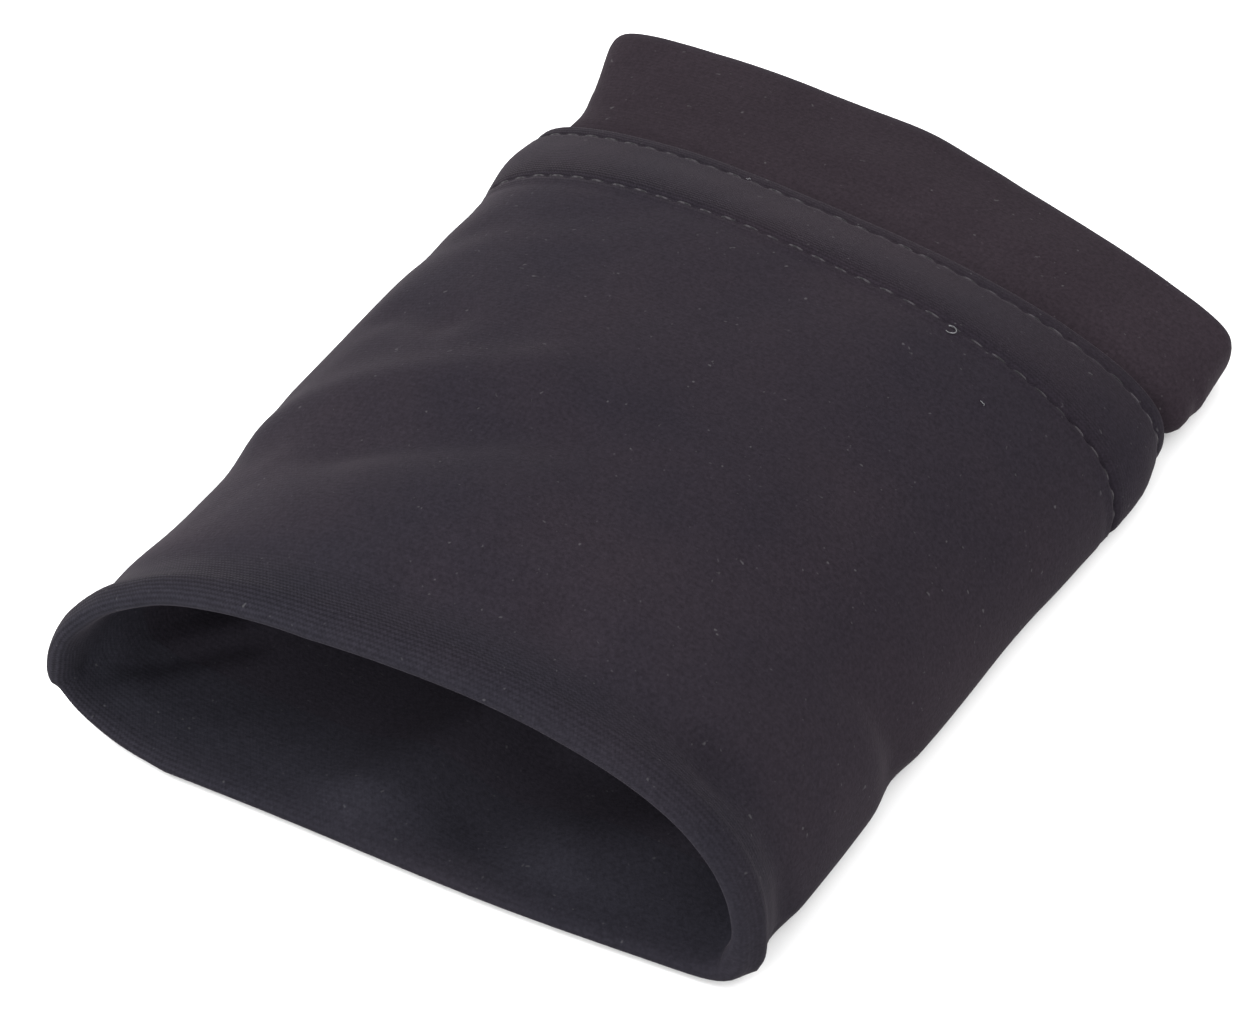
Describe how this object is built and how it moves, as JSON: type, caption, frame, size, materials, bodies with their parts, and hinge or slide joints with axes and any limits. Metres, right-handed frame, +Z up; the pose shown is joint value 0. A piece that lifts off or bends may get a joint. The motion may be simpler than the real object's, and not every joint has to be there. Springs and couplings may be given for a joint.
{
  "type": "stretch knit forearm wallet",
  "caption": "Seam-closed stretch knit sleeve folded back into itself, with a pocket between outer wall and lining under an elastic stitched hem.",
  "frame": {"origin": "centre of the bounding box, on the surface that the sleeve lies on", "axes": "+Y along the sleeve from the arm mouth to the far fold, +X across its width, +Z up"},
  "size_m": [0.1029, 0.1447, 0.038],
  "materials": {
    "knit_outer": "charcoal polyamide stretch knit, fine courses, soft sheen",
    "knit_lip": "charcoal polyamide stretch knit, stretched at the fold so that its courses show",
    "knit_lining": "charcoal polyamide stretch knit, matt",
    "knit_cuff": "charcoal polyamide stretch knit, fine courses, soft sheen",
    "elastic": "woven elastic band",
    "thread": "black textured polyester thread"
  },
  "bodies": {
    "sleeve": {"mouth_lip": "knit_lip", "inner_lining": "knit_lining", "far_cuff": "knit_cuff", "cuff_edge_overlock": "thread", "side_seam": "knit_lining", "outer_back": "knit_outer", "hem_facing_back": "knit_outer", "hem_elastic_back": "elastic", "hem_edge_stitches_back": "thread", "hem_casing_stitches_back": "thread"},
    "pocket_front": {"outer_front": "knit_outer", "hem_facing_front": "knit_outer", "hem_elastic_front": "elastic", "hem_edge_stitches_front": "thread", "hem_casing_stitches_front": "thread"}
  },
  "joints": [
    {"name": "pocket_mouth", "type": "hinge", "parent": "sleeve", "child": "pocket_front", "pos_m": [0, -0.065, 0.037], "axis": [1, 0, 0], "range_deg": [0, 12], "stiffness_Nm_per_rad": 0.1}
  ]
}
